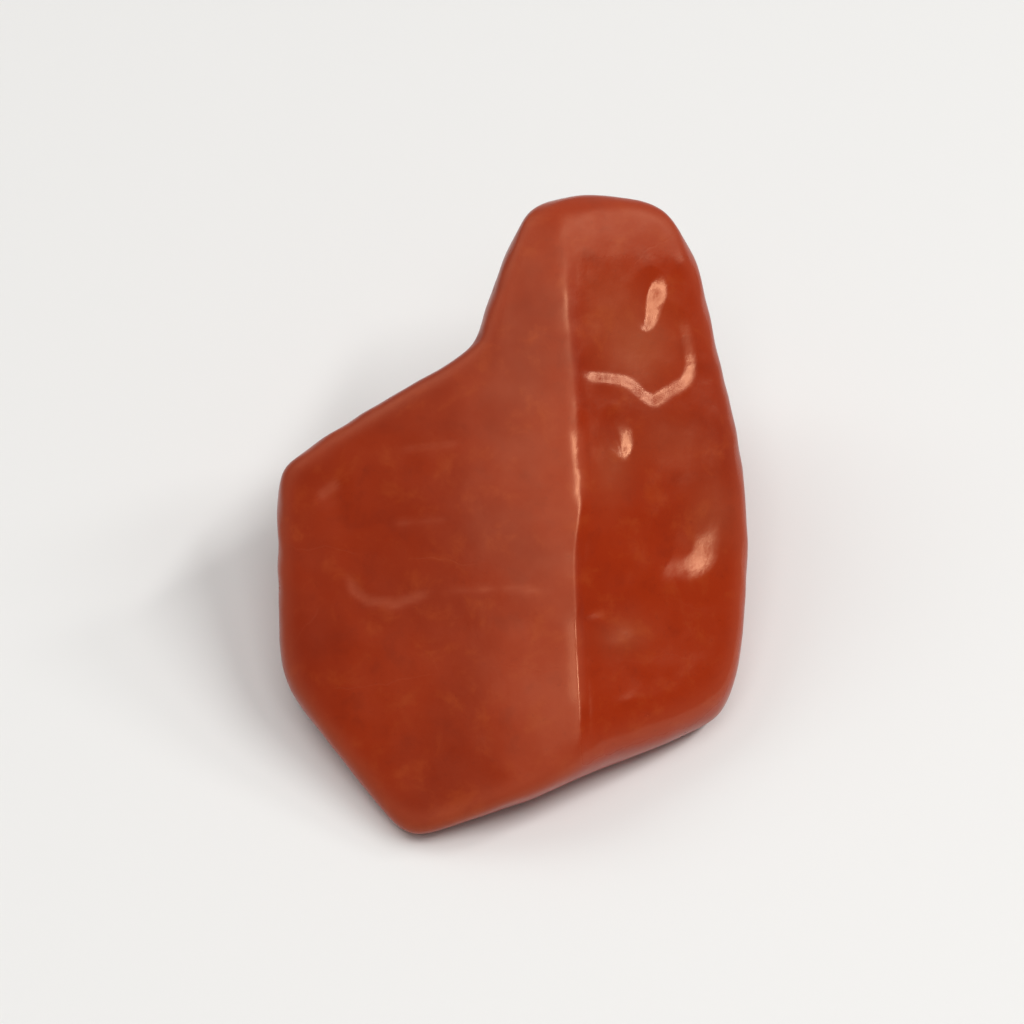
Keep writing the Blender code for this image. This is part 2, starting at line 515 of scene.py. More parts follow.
@dataclass
class CoreGrid:
    """A closed grid of rays that start on a flat core plate inside the stone.

    Each grid point has three shares from -1 to 1 on the outside of a box: across, along and
    through. The plate follows the stone's outline, wider at the low end and narrow at the tall
    end, and each point's ray leans outwards by its shares.

    Attributes:
        across_count: Steps across the stone.
        along_count: Steps along it, from the low tip to the tall end.
        through_count: Steps through its thickness.
        slope: How far the plate leans back from the floor, in degrees.
        across_crowds: For each place across where grid lines crowd: its share, how much denser
            they lie there, and the width over which that fades.
        along_crowds: The same along the stone.
        ridge_share: The share across at which the ridge runs.
        ridge_across: Where the ridge runs, in millimetres right of the heart.
        stations: For each station along the plate: its place, left limit and right limit.
        low_end_skew: How much further the plate's low end reaches at its left.
        lean: How far rays lean outwards at the plate's edge, in millimetres.
        plate_height: How high the plate lies over the heart, in millimetres.
        sag: How far it sinks where it sags most, in millimetres.
        sag_place: Where along it that is, in millimetres from the heart.
        sag_reach: How far along it the sag fades, in millimetres.
    """

    across_count: int = 160
    along_count: int = 196
    through_count: int = 46
    slope: float = 30.0
    across_crowds: Triples = ((0.15, 1.6, 0.07), (0.52, 1.3, 0.32))
    along_crowds: Triples = ((0.45, 0.5, 0.30),)
    ridge_share: float = 0.15
    ridge_across: float = 1.8
    stations: Triples = (
        (-5.5, -2.9, 4.6),
        (-2.5, -5.0, 5.3),
        (2.0, -5.2, 5.3),
        (4.5, -1.9, 4.9),
        (6.5, 0.8, 4.3),
        (8.7, 1.5, 3.6),
    )
    low_end_skew: float = 1.3
    lean: float = 2.2
    sag: float = 3.2
    sag_place: float = 4.0
    sag_reach: float = 4.5
    plate_height: float = 0.6

    @staticmethod
    def spread(count: int, crowds: Triples) -> np.ndarray:
        """Place grid lines from -1 to 1, closer together around some shares.

        Args:
            count: How many steps there are.
            crowds: The crowded places, as in across_crowds.

        Returns:
            count + 1 shares, by inverting the running sum of 1 + Σ boost · bell.
        """
        fine = np.linspace(-1.0, 1.0, 4001)
        density = 1.0 + sum(boost * bell(fine - middle, width) for middle, boost, width in crowds)
        total = np.concatenate([[0.0], np.cumsum((density[1:] + density[:-1]) / 2.0)])
        return np.interp(np.linspace(0.0, total[-1], count + 1), total, fine)

    def lattice(self) -> tuple[np.ndarray, np.ndarray]:
        """Number the points on the outside of the box grid and list its squares.

        Returns:
            The whole-number place of each point, and four point numbers for each square, in
            anticlockwise order seen from outside.
        """
        counts = (self.across_count, self.along_count, self.through_count)
        places = []
        shapes = []
        flips = []
        for axis in range(3):
            first, second = (axis + 1) % 3, (axis + 2) % 3
            for end in (0, counts[axis]):
                rows, columns = np.meshgrid(
                    np.arange(counts[first] + 1), np.arange(counts[second] + 1), indexing="ij"
                )
                sheet = np.empty(rows.shape + (3,), dtype=np.int64)
                sheet[..., axis] = end
                sheet[..., first] = rows
                sheet[..., second] = columns
                places.append(sheet.reshape(-1, 3))
                shapes.append(rows.shape)
                flips.append(end == 0)
        points, numbers = np.unique(np.concatenate(places), axis=0, return_inverse=True)
        numbers = numbers.reshape(-1)
        squares = []
        start = 0
        for shape, flip in zip(shapes, flips):
            sheet = numbers[start : start + shape[0] * shape[1]].reshape(shape)
            start += shape[0] * shape[1]
            ring = [sheet[:-1, :-1], sheet[1:, :-1], sheet[1:, 1:], sheet[:-1, 1:]]
            if flip:
                ring.reverse()
            squares.append(np.stack(ring, axis=-1).reshape(-1, 4))
        return points, np.concatenate(squares)

    def rays(self, points: np.ndarray) -> tuple[np.ndarray, np.ndarray]:
        """Turn grid points into rays.

        The plate point is (x, t, w): x runs between the limits at its station, t is its place
        along the plate, and w = plate_height - sag · bell(t - sag_place) is its depth. The ray
        leans by its shares times lean in each direction.

        Args:
            points: Whole-number places from lattice.

        Returns:
            Where each ray starts, and its direction, from the heart in millimetres.
        """
        across_lines = self.spread(self.across_count, self.across_crowds)
        along_lines = self.spread(self.along_count, self.along_crowds)
        through_lines = np.linspace(-1.0, 1.0, self.through_count + 1)
        across = across_lines[points[:, 0]]
        along = along_lines[points[:, 1]]
        through = through_lines[points[:, 2]]

        place, left, right = np.array(self.stations).T
        station_shares = np.linspace(-1.0, 1.0, len(place))
        from_ridge = across - self.ridge_share
        side = from_ridge / np.where(from_ridge < 0, 1 + self.ridge_share, 1 - self.ridge_share)
        low_end = (1.0 - along) / 2.0
        t = np.interp(along, station_shares, place) + self.low_end_skew * across * low_end
        left_reach = self.ridge_across - np.interp(along, station_shares, left)
        right_reach = np.interp(along, station_shares, right) - self.ridge_across
        x = self.ridge_across + side * np.where(side < 0, left_reach, right_reach)
        w = self.plate_height - self.sag * bell(t - self.sag_place, self.sag_reach)

        tilt = math.radians(self.slope)
        right_way = np.array([1.0, 0.0, 0.0])
        up_slope = np.array([0.0, math.cos(tilt), math.sin(tilt)])
        out = np.array([0.0, -math.sin(tilt), math.cos(tilt)])
        starts = x[:, None] * right_way + t[:, None] * up_slope + w[:, None] * out
        ways = side[:, None] * right_way + along[:, None] * up_slope + through[:, None] * out
        return starts, ways * self.lean


@dataclass
class Relief:
    """The low relief that lies over the facets, in millimetres along the surface's normal.

    Attributes:
        ridge_line: Points of the ridge, each up the picture from the heart and across it.
        ridge_drops: How far the face steps down right of the ridge, each at a place up it.
        ridge_slope: How wide that step is, in millimetres.
        ridge_heal: How far right of the ridge it has healed, in millimetres.
        ridge_starts: Between which places up the picture the step sets in.
        ridge_ends: Between which it ends.
        highlight_crests: Where the ridge is polished and painted pale as a highlight, with shares as heights.
        lips: Where it is worn flatter.
        dishes: The drawn chips right of the ridge.
        seams: Sunken healed seams left of the ridge.
        hazes: The frosted patches right of it, on which a paler sheen is painted.
        marks: Blisters and pits on the broad face.
        ripples: Flake ripples on the other sides.
        wave_count: How many waves add up to an undulation.
        broad_wave: The height of the broad undulation, in millimetres.
        fine_wave: The height of the fine one.
        broad_lengths: The shortest and longest wavelength of the broad one, in millimetres.
        fine_lengths: Those of the fine one.
        cluster_lengths: Those of the waves that gather pits in clusters.
        pit_count: How many small pits are scattered.
        pit_least: The smallest pit's radius, in millimetres.
        pit_range: How much larger the largest is.
        pit_rarity: How much rarer large pits are than small ones.
        pit_depth: A pit's depth as a share of its radius.
        seed: The seed for undulation and scattered pits.
    """

    ridge_line: Line = (
        (-6.5, 2.05),
        (-4.4, 2.00),
        (-0.1, 1.86),
        (1.5, 2.10),
        (3.9, 2.02),
        (6.7, 1.74),
        (8.4, 1.65),
        (9.5, 1.60),
    )
    ridge_drops: Line = ((-6.5, 0.11), (0.3, 0.12), (1.4, 0.05), (9.5, 0.05))
    ridge_slope: float = 0.42
    ridge_heal: float = 2.4
    ridge_starts: Span = (-6.9, -5.2)
    ridge_ends: Span = (8.0, 9.8)
    # The shares follow how bright the ridge's painted highlight is along it
    highlight_crests: tuple[Lip, ...] = (
        Lip(((1.62, 8.3), (1.74, 6.7)), 0.40, 0.30),
        Lip(((2.00, 4.0), (2.08, 2.8), (2.10, 1.5)), 1.00, 0.26),
        Lip(((1.80, 0.1), (1.86, -0.9)), 0.30, 0.26),
        Lip(((1.96, -1.8), (2.03, -4.9)), 0.90, 0.28),
    )
    lips: tuple[Lip, ...] = (Lip(((2.00, 4.3), (2.08, 2.8), (2.10, 1.2)), -0.018, 0.25),)
    dishes: tuple[Dish, ...] = (
        Dish(
            (
                (4.90, 8.0), (5.50, 7.6), (5.76, 7.1), (5.88, 6.4), (5.90, 5.7), (5.60, 5.15), (5.05, 4.82),
                (4.52, 4.52), (4.05, 4.70), (3.55, 5.08), (2.95, 5.22), (2.30, 5.38), (2.10, 6.0),
                (2.70, 7.0), (3.30, 7.9), (4.10, 8.3),
            ),
            0.078, 0.46, -56.0,
        ),
        Dish(
            (
                (5.10, -0.98), (5.70, -0.94), (6.22, -0.64), (6.52, -0.1), (6.58, 0.6), (6.40, 1.4),
                (5.90, 1.9), (5.20, 1.9), (4.60, 1.3), (4.30, 0.5), (4.25, -0.3), (4.55, -0.85),
            ),
            0.145, 0.85, -90.0,
        ),
        Dish(
            (
                (4.30, 8.98), (4.74, 8.85), (4.94, 8.35), (4.84, 7.75), (4.62, 7.2), (4.26, 6.92),
                (3.86, 7.2), (3.64, 7.9), (3.84, 8.6),
            ),
            0.138, 0.68, 0.0,
        ),
        Dish(
            (
                (3.20, 4.55), (3.60, 4.22), (3.84, 3.75), (3.82, 3.2), (3.50, 2.85), (3.05, 3.1), (2.75, 3.7),
                (2.80, 4.30),
            ),
            0.090, 0.46, 20.0,
        ),
    )
    seams: tuple[Lip, ...] = (
        Lip(((-5.2, -0.6), (-4.9, -1.2), (-4.5, -1.5), (-3.6, -1.6), (-2.4, -1.2)), -0.024, 0.14, 0.3),
        Lip(((-2.2, -1.2), (-0.3, -1.1), (1.4, -1.2)), -0.014, 0.11, 0.7),
        Lip(((-3.8, 0.9), (-1.9, 1.0)), -0.010, 0.12, 0.6),
        Lip(((-3.5, 3.2), (-1.4, 3.4)), -0.010, 0.12, 0.6),
        Lip(((-6.1, 1.7), (-5.4, 2.2)), -0.020, 0.16, 0.2),
    )
    # Frosted patches that are made rougher and painted with a paler sheen
    hazes: tuple[Haze, ...] = (
        Haze(4.0, 6.5, 1.3, 1.4, 0.75),
        Haze(2.9, 8.0, 1.0, 1.2, 0.35),
        Haze(3.1, 2.6, 0.7, 1.1, 0.45),
        Haze(5.0, 3.4, 1.4, 1.0, 0.35),
        Haze(6.3, 1.1, 0.9, 1.3, 0.45),
        Haze(3.5, -2.6, 0.8, 0.6, 0.50),
    )
    marks: tuple[Mark, ...] = (
        Mark(3.6, -2.8, 0.60, 0.45, MarkKind.BLISTER, 0.045),
        Mark(3.7, -4.6, 0.60, 0.25, MarkKind.BLISTER, 0.030, 10.0),
        Mark(2.55, -1.8, 0.36, 0.26, MarkKind.PIT, 0.040),
        Mark(-5.6, 1.8, 0.55, 0.30, MarkKind.PIT, 0.035, 35.0),
    )
    ripples: tuple[Ripple, ...] = (
        Ripple(60, 42, 12.5, 9.0, 1.15, 0.024),
        Ripple(18, -12, 9.5, 6.0, 0.95, 0.014),
        Ripple(170, 20, 9.0, 6.5, 1.05, 0.022),
        Ripple(140, -40, 10.0, 6.0, 0.90, 0.018),
    )
    wave_count: int = 14
    broad_wave: float = 0.022
    fine_wave: float = 0.0035
    broad_lengths: Span = (3.0, 9.0)
    fine_lengths: Span = (0.7, 1.6)
    cluster_lengths: Span = (3.0, 7.0)
    pit_count: int = 150
    pit_least: float = 0.08
    pit_range: float = 0.26
    pit_rarity: float = 2.5
    pit_depth: float = 0.20
    seed: int = 11

    def waves(self, points: np.ndarray, limits: Span, seed: int) -> np.ndarray:
        """Add up plane waves of random direction, length and phase.

        Args:
            points: Points from the heart.
            limits: The shortest and longest wavelength, in millimetres.
            seed: The seed of the random draws.

        Returns:
            A field with a spread of about 1.
        """
        draw = np.random.default_rng(seed)
        ways = draw.normal(size=(self.wave_count, 3))
        ways /= np.linalg.norm(ways, axis=1, keepdims=True)
        lengths = np.exp(draw.uniform(*(math.log(limit) for limit in limits), self.wave_count))
        phases = draw.uniform(0.0, 2.0 * math.pi, self.wave_count)
        turns = points @ (ways * (2.0 * math.pi / lengths)[:, None]).T + phases
        return np.sin(turns).sum(axis=1) / math.sqrt(self.wave_count / 2.0)

    def ridge(self, spots: np.ndarray) -> np.ndarray:
        """Step down a little right of the ridge.

        Args:
            spots: Places across and up the picture from the heart, one row each.

        Returns:
            Minus a drop that sets in over ridge_slope and heals further right.
        """
        across, up = spots.T
        places, offsets = np.array(self.ridge_line).T
        beside = across - np.interp(up, places, offsets)
        places, depths = np.array(self.ridge_drops).T
        drop = np.interp(up, places, depths)
        drop *= soft_step(beside, 0.0, self.ridge_slope) * bell(np.maximum(beside, 0.0), self.ridge_heal)
        return -drop * soft_step(up, *self.ridge_starts) * (1.0 - soft_step(up, *self.ridge_ends))

    def pits(self, points: np.ndarray, normals: np.ndarray) -> np.ndarray:
        """Scatter small pits in clusters, nearly all of them on the stone's back and sides.

        Args:
            points: Points from the heart.
            normals: The unit normals there.

        Returns:
            How deep the pits are at each point, as a positive number.
        """
        draw = np.random.default_rng(self.seed + 5)
        chance = 0.015 + soft_step(-normals @ picture_axes()[1], -0.6, 0.2)
        chance *= 0.05 + soft_step(self.waves(points, self.cluster_lengths, self.seed + 7), 0.0, 1.5)
        chosen = draw.choice(len(points), self.pit_count, replace=False, p=chance / chance.sum())
        sizes = draw.uniform(0.0, 1.0, self.pit_count) ** self.pit_rarity
        depth = np.zeros(len(points))
        for number, radius in zip(chosen, self.pit_least + self.pit_range * sizes):
            away = np.linalg.norm(points - points[number], axis=1)
            depth = np.maximum(depth, self.pit_depth * radius * bell(away, radius))
        return depth


@dataclass
class JasperStone:
    """The whole stone: one closed surface with its relief and its finish.

    Attributes:
        form: The smooth form.
        grid: The rays that find it.
        relief: What lies over it.
        farthest: How many times its own length a ray is followed.
        halvings: How often the place where a ray leaves the stone is narrowed down.
        slide_rounds: How often the points slide over the surface.
        slide: How far they slide each time, as a share of the way to their neighbours' mean.
        front: Between which shares of facing the camera the broad face's relief sets in.
        underside: Between which shares of facing down all relief fades out.
        gloss_across: Between which places across the glossy side sets in.
        gloss_up: Between which places up the picture it ends.
        haze_across: Between which places across the frosted, sheen-painted patches set in.
        worn_melt: Between which melts an edge is painted paler, partly as real wear and partly as a painted
            highlight.
        front_polish: How polished the broad face's satin side is.
        back_polish: How much more polished the other sides are.
        deepest_pit: The depth at which a pit counts as fully hollow, in millimetres.
        deepest_seam: The depth at which a seam counts as fully healed, in millimetres.
    """

    form: StoneForm = field(default_factory=StoneForm)
    grid: CoreGrid = field(default_factory=CoreGrid)
    relief: Relief = field(default_factory=Relief)
    farthest: float = 9.0
    halvings: int = 16
    slide_rounds: int = 12
    slide: float = 0.8
    front: Span = (0.45, 0.75)
    underside: Span = (0.80, 0.97)
    gloss_across: Span = (1.7, 2.4)
    gloss_up: Span = (8.6, 10.2)
    frost_and_painted_sheen_across: Span = (1.9, 2.5)
    worn_melt: Span = (0.06, 0.40)
    front_polish: float = 0.10
    back_polish: float = 0.35
    deepest_pit: float = 0.06
    deepest_seam: float = 0.014

    def surface(self) -> tuple[np.ndarray, np.ndarray, dict[str, np.ndarray]]:
        """Work out the stone's surface.

        Returns:
            The points in millimetres from the heart, the squares, and the named masks that the
            finish reads.
        """
        places, squares = self.grid.lattice()
        starts, ways = self.grid.rays(places)
        near = np.zeros(len(starts))
        far = np.full(len(starts), self.farthest)
        for _ in range(self.halvings):
            middle = (near + far) / 2.0
            inside = self.form.measure(starts + ways * middle[:, None]).value < 0.0
            near = np.where(inside, middle, near)
            far = np.where(inside, far, middle)
        points, normals = self.even_out(starts + ways * far[:, None], squares)
        height, masks = self.lay_relief(points, normals)
        return points + normals * height[:, None], squares, masks

    def even_out(self, points: np.ndarray, squares: np.ndarray) -> tuple[np.ndarray, np.ndarray]:
        """Slide the points over the surface until the squares are alike in size.

        Each round moves a point by slide times the way from it to the mean of its neighbours,
        less the part of that way along the normal, and then lands it on the surface again.

        Args:
            points: Points on the surface.
            squares: Four point numbers for each square.

        Returns:
            The points in their new places, and the unit outward normals there.
        """
        ends = np.stack([squares, np.roll(squares, -1, axis=1)], axis=-1).reshape(-1, 2)
        neighbours = np.bincount(ends[:, 0], minlength=len(points))
        points, normals = self.form.land(points)
        for _ in range(self.slide_rounds):
            sums = [np.bincount(ends[:, 0], points[ends[:, 1], axis], len(points)) for axis in range(3)]
            way = np.stack(sums, axis=1) / neighbours[:, None] - points
            way -= normals * (way * normals).sum(axis=1, keepdims=True)
            points, normals = self.form.land(points + self.slide * way)
        return points, normals

    def lay_relief(self, points: np.ndarray, normals: np.ndarray) -> tuple[np.ndarray, dict[str, np.ndarray]]:
        """Add up the relief, kept off the face that the stone lies on.

        Args:
            points: Points on the smooth form.
            normals: The unit normals there.

        Returns:
            The height at each point, and the masks: polish, the frosted patches with their painted sheen, the
                pits' depth, the paler edges that are partly wear and partly a painted highlight, and the
                healed seams.
        """
        relief = self.relief
        up_way, camera_way = picture_axes()
        spots = np.column_stack([points[:, 0], points @ up_way])
        across, up = spots.T
        facing = soft_step(normals @ camera_way, *self.front)
        standing = 1.0 - soft_step(-normals[:, 2], *self.underside)

        wave = relief.broad_wave * relief.waves(points, relief.broad_lengths, relief.seed)
        wave += relief.fine_wave * relief.waves(points, relief.fine_lengths, relief.seed + 1)
        seams = sum(seam.lift(spots) for seam in relief.seams)
        front = sum(piece.lift(spots) for piece in relief.marks + relief.lips + relief.dishes)
        front = front + seams + relief.ridge(spots)
        rings = sum(ripple.lift(points) for ripple in relief.ripples)
        pits = relief.pits(points, normals)
        height = (wave + facing * front + (1.0 - facing) * rings - pits) * standing

        # The ridge's bright segments: polished, and painted pale as a highlight through the worn mask
        crest_highlight = facing * sum(lip.lift(spots) for lip in relief.highlight_crests)
        glossy = soft_step(across, *self.gloss_across) * (1.0 - soft_step(up, *self.gloss_up)) * facing
        polish = self.front_polish + (1.0 - self.front_polish) * np.maximum(glossy, crest_highlight)
        frost_and_painted_sheen = sum(patch.cover(spots) for patch in relief.hazes)
        shares = {
            "polish": polish + self.back_polish * (1.0 - facing),
            # Frosted patches, rougher and painted with a paler sheen of reflected light
            "frost_and_painted_sheen": facing * soft_step(across, *self.frost_and_painted_sheen_across) * frost_and_painted_sheen,
            "hollow": pits / self.deepest_pit,
            # Paler edges, partly real wear and partly a painted highlight, joined with the painted highlight
            # along the ridge
            "worn": np.maximum(soft_step(self.form.measure(points).melt, *self.worn_melt), crest_highlight),
            "healed": facing * np.clip(-seams / self.deepest_seam, 0.0, 1.0),
        }
        return height, {name: np.clip(share, 0.0, 1.0) for name, share in shares.items()}

    def build(self) -> Vector:
        """Make the stone's mesh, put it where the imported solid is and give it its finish.

        Returns:
            Where the stone's heart is, in metres.
        """
        points, squares, masks = self.surface()
        low, high = points.min(axis=0), points.max(axis=0)
        cad_low, cad_high = (np.array(corner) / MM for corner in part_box(STONE_NODE))
        shift = (cad_low + cad_high) / 2.0 - (low + high) / 2.0
        shift[2] = cad_low[2] - low[2]
        mesh = bpy.data.meshes.new("polished_stone")
        mesh.from_pydata((points + shift) * MM, [], squares.tolist())
        for name, mask in masks.items():
            layer = mesh.attributes.new(name, "FLOAT", "POINT")
            layer.data.foreach_set("value", mask.astype(np.float32))
        mesh.shade_smooth()
        mesh.update()
        stone = put_in_scene("polished_stone", mesh)
        mesh.materials.append(JasperFinish().material())
        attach(stone, STONE_BODY)
        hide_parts(STONE_NODE)
        LOG.info("%s: %d points, %d squares", stone.name, len(points), len(squares))
        return Vector(shift * MM)


@dataclass(frozen=True)
class Cloud:
    """A cloudy pattern.

    Attributes:
        scale: How many clouds there are to a millimetre.
        detail: How many layers of finer clouds there are.
        rough: How strong those are.
        twist: How far the clouds are pulled out of shape.
    """

    scale: float
    detail: float
    rough: float
    twist: float = 0.0


@dataclass
class Bench:
    """A node tree with short calls for the nodes that a finish needs.

    Attributes:
        tree: The node tree.
    """

    tree: bpy.types.NodeTree

    def add(self, kind: str, settings: dict | None = None, **inputs: object) -> bpy.types.Node:
        """Add a node.

        Args:
            kind: The node's Blender type.
            settings: Values for the node's own properties.
            **inputs: A value or an output socket for each input, by its name in lower case with
                underscores, or by its number as in input_0.

        Returns:
            The new node.
        """
        node = self.tree.nodes.new(kind)
        for name, value in (settings or {}).items():
            setattr(node, name, value)
        for name, value in inputs.items():
            self.feed(self.find(node, name), value)
        return node

    @staticmethod
    def find(node: bpy.types.Node, name: str) -> Socket:
        """Return a node's input by its plain name or number."""
        if name.startswith("input_"):
            return node.inputs[int(name.removeprefix("input_"))]
        for socket in node.inputs:
            if socket.name.lower().replace(" ", "_") == name and socket.enabled:
                return socket
        raise KeyError(name)

    def feed(self, socket: Socket, value: object) -> None:
        """Link an output to a socket, or set the socket's own value."""
        if isinstance(value, Socket):
            self.tree.links.new(value, socket)
        else:
            socket.default_value = value

    def math(self, operation: str, *numbers: object) -> Socket:
        """Return the result of one sum on its numbers."""
        inputs = {f"input_{place}": number for place, number in enumerate(numbers)}
        return self.add("ShaderNodeMath", {"operation": operation}, **inputs).outputs[0]

    def tint(self, share: Socket, strength: float, colour: object, over: Colour) -> Socket:
        """Return a colour with another laid over it by strength times its share."""
        node = self.add("ShaderNodeMix", {"data_type": "RGBA"})
        self.feed(node.inputs[0], self.math("MULTIPLY", share, strength))
        self.feed(node.inputs[6], colour)
        self.feed(node.inputs[7], over)
        return node.outputs[2]

    def between(self, value: object, low: float, high: float, start: float = 0.0, end: float = 1.0) -> Socket:
        """Return a value carried smoothly from low..high to start..end."""
        node = self.add(
            "ShaderNodeMapRange",
            {"interpolation_type": "SMOOTHSTEP"},
            value=value, from_min=low, from_max=high, to_min=start, to_max=end,
        )
        return node.outputs[0]

    def noise(self, where: Socket, cloud: Cloud) -> Socket:
        """Return the value of a cloudy pattern at a place in millimetres."""
        node = self.add("ShaderNodeTexNoise", vector=where, scale=cloud.scale, detail=cloud.detail)
        self.feed(self.find(node, "roughness"), cloud.rough)
        self.feed(self.find(node, "distortion"), cloud.twist)
        return node.outputs[0]

    def mask(self, name: str) -> Socket:
        """Return one of the surface's own masks."""
        settings = {"attribute_type": "GEOMETRY", "attribute_name": name}
        return self.add("ShaderNodeAttribute", settings).outputs["Fac"]


@dataclass(frozen=True)
class HealedCrack(Aimed):
    """A healed fracture: a thin plane, square to its direction, that shows as a line on the stone.

    Attributes:
        width: The line's half width, in millimetres.
        strength: How clearly it shows, from 0 to 1.
    """

    width: float
    strength: float


@dataclass(frozen=True)
class JasperFinish:
    """Tumbled red jasper: brick red with darker clouds, satin to glossy.

    Attributes:
        deep: The darkest red-brown of the clouds.
        brick: The stone's main colour.
        warm: The paler orange red of its light patches.
        bloom_and_highlight: The paler pink of healed cracks and rubbed edges.
        painted_sheen: The brownish bloom of frosted patches.
        gloss: The level of its mirror-like reflection, where 0.5 is glass.
        sheen: The tint of that reflection.
        refraction: The stone's refractive index.
        satin: The roughness of the unpolished stone.
        polished: The roughness of the polished stone.
        unevenness: How far the roughness wanders to each side.
        haze_dulls: How much rougher frosted patches are.
        hollows_dull: How much rougher pits are.
        cracks_dull: How much rougher healed cracks are.
        bump: The height of the skin's unevenness, in millimetres.
        grain_height: The height of its grain, as a share of that.
        crack_sink: How low cracks lie, as a share of that.
        crack_stray: How far cracks stray from their planes, in millimetres.
        clouds: The large clouds of colour.
        mottle: The smaller, mottled ones.
        grain: The dark specks.
        worn_polish: The pattern in which the roughness wanders.
        skin_waves: The skin's unevenness.
        skin_grain: Its grain.
        crack_wander: The pattern in which cracks stray.
        crack_breaks: The pattern in which cracks come and go.
        cracks: The healed fractures.
    """

    deep: Colour = (0.215, 0.012, 0.002, 1.0)
    brick: Colour = (0.315, 0.021, 0.002, 1.0)
    warm: Colour = (0.365, 0.043, 0.007, 1.0)
    bloom_and_highlight: Colour = (0.460, 0.095, 0.045, 1.0)
    painted_sheen: Colour = (0.370, 0.115, 0.050, 1.0)
    gloss: float = 0.45
    sheen: Colour = (1.0, 0.55, 0.32, 1.0)
    refraction: float = 1.54
    satin: float = 0.41
    polished: float = 0.19
    unevenness: float = 0.05
    frost_and_painted_sheen_dulls: float = 0.05
    hollows_dull: float = 0.25
    cracks_dull: float = 0.12
    bump: float = 0.009
    grain_height: float = 0.06
    crack_sink: float = 0.15
    crack_stray: float = 0.8
    clouds: Cloud = Cloud(0.17, 3.0, 0.50, 0.3)
    mottle: Cloud = Cloud(0.95, 6.0, 0.62, 0.3)
    grain: Cloud = Cloud(5.5, 3.0, 0.6)
    worn_polish: Cloud = Cloud(0.7, 5.0, 0.6)
    skin_waves: Cloud = Cloud(1.8, 4.0, 0.55)
    skin_grain: Cloud = Cloud(9.0, 3.0, 0.6)
    crack_wander: Cloud = Cloud(0.45, 3.0, 0.55)
    crack_breaks: Cloud = Cloud(0.33, 2.0, 0.5)
    cracks: tuple[HealedCrack, ...] = (
        HealedCrack(80, 28, 0.35, 0.035, 0.75),
        HealedCrack(96, 34, -2.10, 0.030, 0.60),
        HealedCrack(25, 10, 4.20, 0.030, 0.55),
        HealedCrack(-20, 62, 3.10, 0.028, 0.45),
        HealedCrack(140, 15, 3.60, 0.035, 0.60),
    )

    def crack_group(self) -> bpy.types.NodeTree:
        """Build the group that draws one healed crack.

        Its mask is 1 where |normal · place - offset + wobble| is under the width, broken up by
        a slow cloud so that the line comes and goes.

        Returns:
            The node group, with the sockets Place, Normal, Offset, Width and Strength in, and
            Mask out.
        """
        group = bpy.data.node_groups.new("healed_crack", "ShaderNodeTree")
        face = group.interface
        face.new_socket("Place", in_out="INPUT", socket_type="NodeSocketVector")
        face.new_socket("Normal", in_out="INPUT", socket_type="NodeSocketVector")
        for name in ("Offset", "Width", "Strength"):
            face.new_socket(name, in_out="INPUT", socket_type="NodeSocketFloat")
        face.new_socket("Mask", in_out="OUTPUT", socket_type="NodeSocketFloat")
        bench = Bench(group)
        given = bench.add("NodeGroupInput").outputs
        result = bench.add("NodeGroupOutput")
        along = bench.add("ShaderNodeVectorMath", {"operation": "DOT_PRODUCT"})
        bench.feed(along.inputs[0], given["Place"])
        bench.feed(along.inputs[1], given["Normal"])
        wander = bench.noise(given["Place"], self.crack_wander)
        wobble = bench.math("MULTIPLY_ADD", wander, 2.0 * self.crack_stray, -self.crack_stray)
        gap = bench.math("SUBTRACT", bench.math("ADD", along.outputs["Value"], wobble), given["Offset"])
        share = bench.math("DIVIDE", bench.math("ABSOLUTE", gap), given["Width"])
        line = bench.between(share, 0.2, 1.0, 1.0, 0.0)
        shown = bench.between(bench.noise(given["Place"], self.crack_breaks), 0.47, 0.60)
        mask = bench.math("MULTIPLY", bench.math("MULTIPLY", line, shown), given["Strength"])
        bench.feed(result.inputs["Mask"], mask)
        return group

    def material(self) -> bpy.types.Material:
        """Build the finish.

        Returns:
            The material, whose patterns all read the stone's own place in millimetres.
        """
        material = bpy.data.materials.new("tumbled_red_jasper")
        material.use_nodes = True
        bench = Bench(material.node_tree)
        shader = material.node_tree.nodes["Principled BSDF"]
        at_rest = bench.add("ShaderNodeTexCoord").outputs["Object"]
        enlarge = bench.add("ShaderNodeVectorMath", {"operation": "SCALE"}, input_0=at_rest, scale=1.0 / MM)
        place = enlarge.outputs[0]

        cracks = self.draw_cracks(bench, place)
        bench.feed(shader.inputs["Base Color"], self.paint(bench, place, cracks))
        bench.feed(shader.inputs["Roughness"], self.polish(bench, place, cracks))
        bench.feed(shader.inputs["Normal"], self.skin(bench, place, cracks))
        shader.inputs["IOR"].default_value = self.refraction
        shader.inputs["Specular IOR Level"].default_value = self.gloss
        shader.inputs["Specular Tint"].default_value = self.sheen
        return material

    def draw_cracks(self, bench: Bench, place: Socket) -> Socket:
        """Return the mask of all healed cracks together, fainter where the stone is polished."""
        group = self.crack_group()
        total: object = 0.0
        for crack in self.cracks:
            node = bench.add("ShaderNodeGroup", {"node_tree": group}, place=place)
            node.inputs["Normal"].default_value = crack.way
            node.inputs["Offset"].default_value = crack.distance
            node.inputs["Width"].default_value = crack.width
            node.inputs["Strength"].default_value = crack.strength
            total = bench.math("MAXIMUM", node.outputs["Mask"], total)
        return bench.math("MULTIPLY", total, bench.between(bench.mask("polish"), 0.2, 0.9, 1.0, 0.3))

